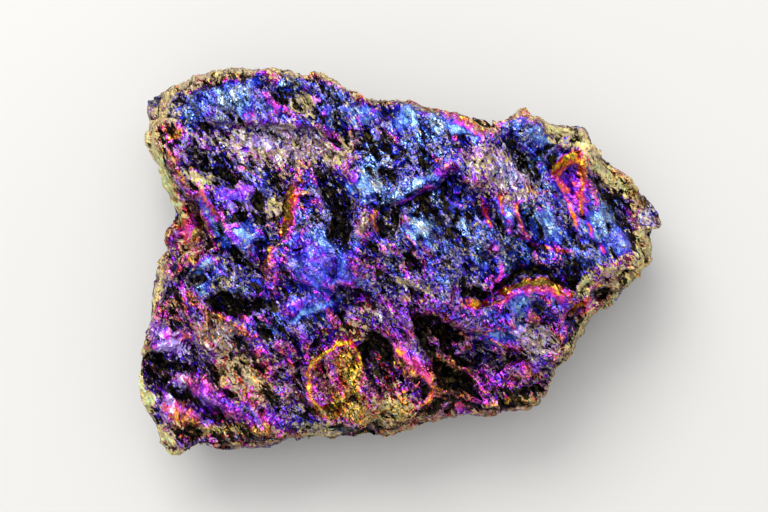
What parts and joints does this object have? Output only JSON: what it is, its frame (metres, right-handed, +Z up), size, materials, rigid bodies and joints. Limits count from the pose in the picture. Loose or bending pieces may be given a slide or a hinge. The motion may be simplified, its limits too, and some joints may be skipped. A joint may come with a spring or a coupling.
{
  "type": "bornite specimen",
  "caption": "Loose lump of tarnished copper ore, longer than wide, with a ledged and pitted upper face, sloping broken flanks and a flat patch underneath that it lies on.",
  "frame": {"origin": "on the surface the stone lies on, under the middle of its outline", "axes": "+X along the stone's length towards its pointed end, +Y across it towards its long straight upper edge, +Z up"},
  "size_m": [0.0836, 0.0616, 0.0271],
  "materials": {
    "tarnished_bornite": "rough broken ore with a metallic tarnish film that runs from brass and pink through violet to blue"
  },
  "bodies": {
    "root": {"bornite_stone": "tarnished_bornite"}
  },
  "joints": []
}
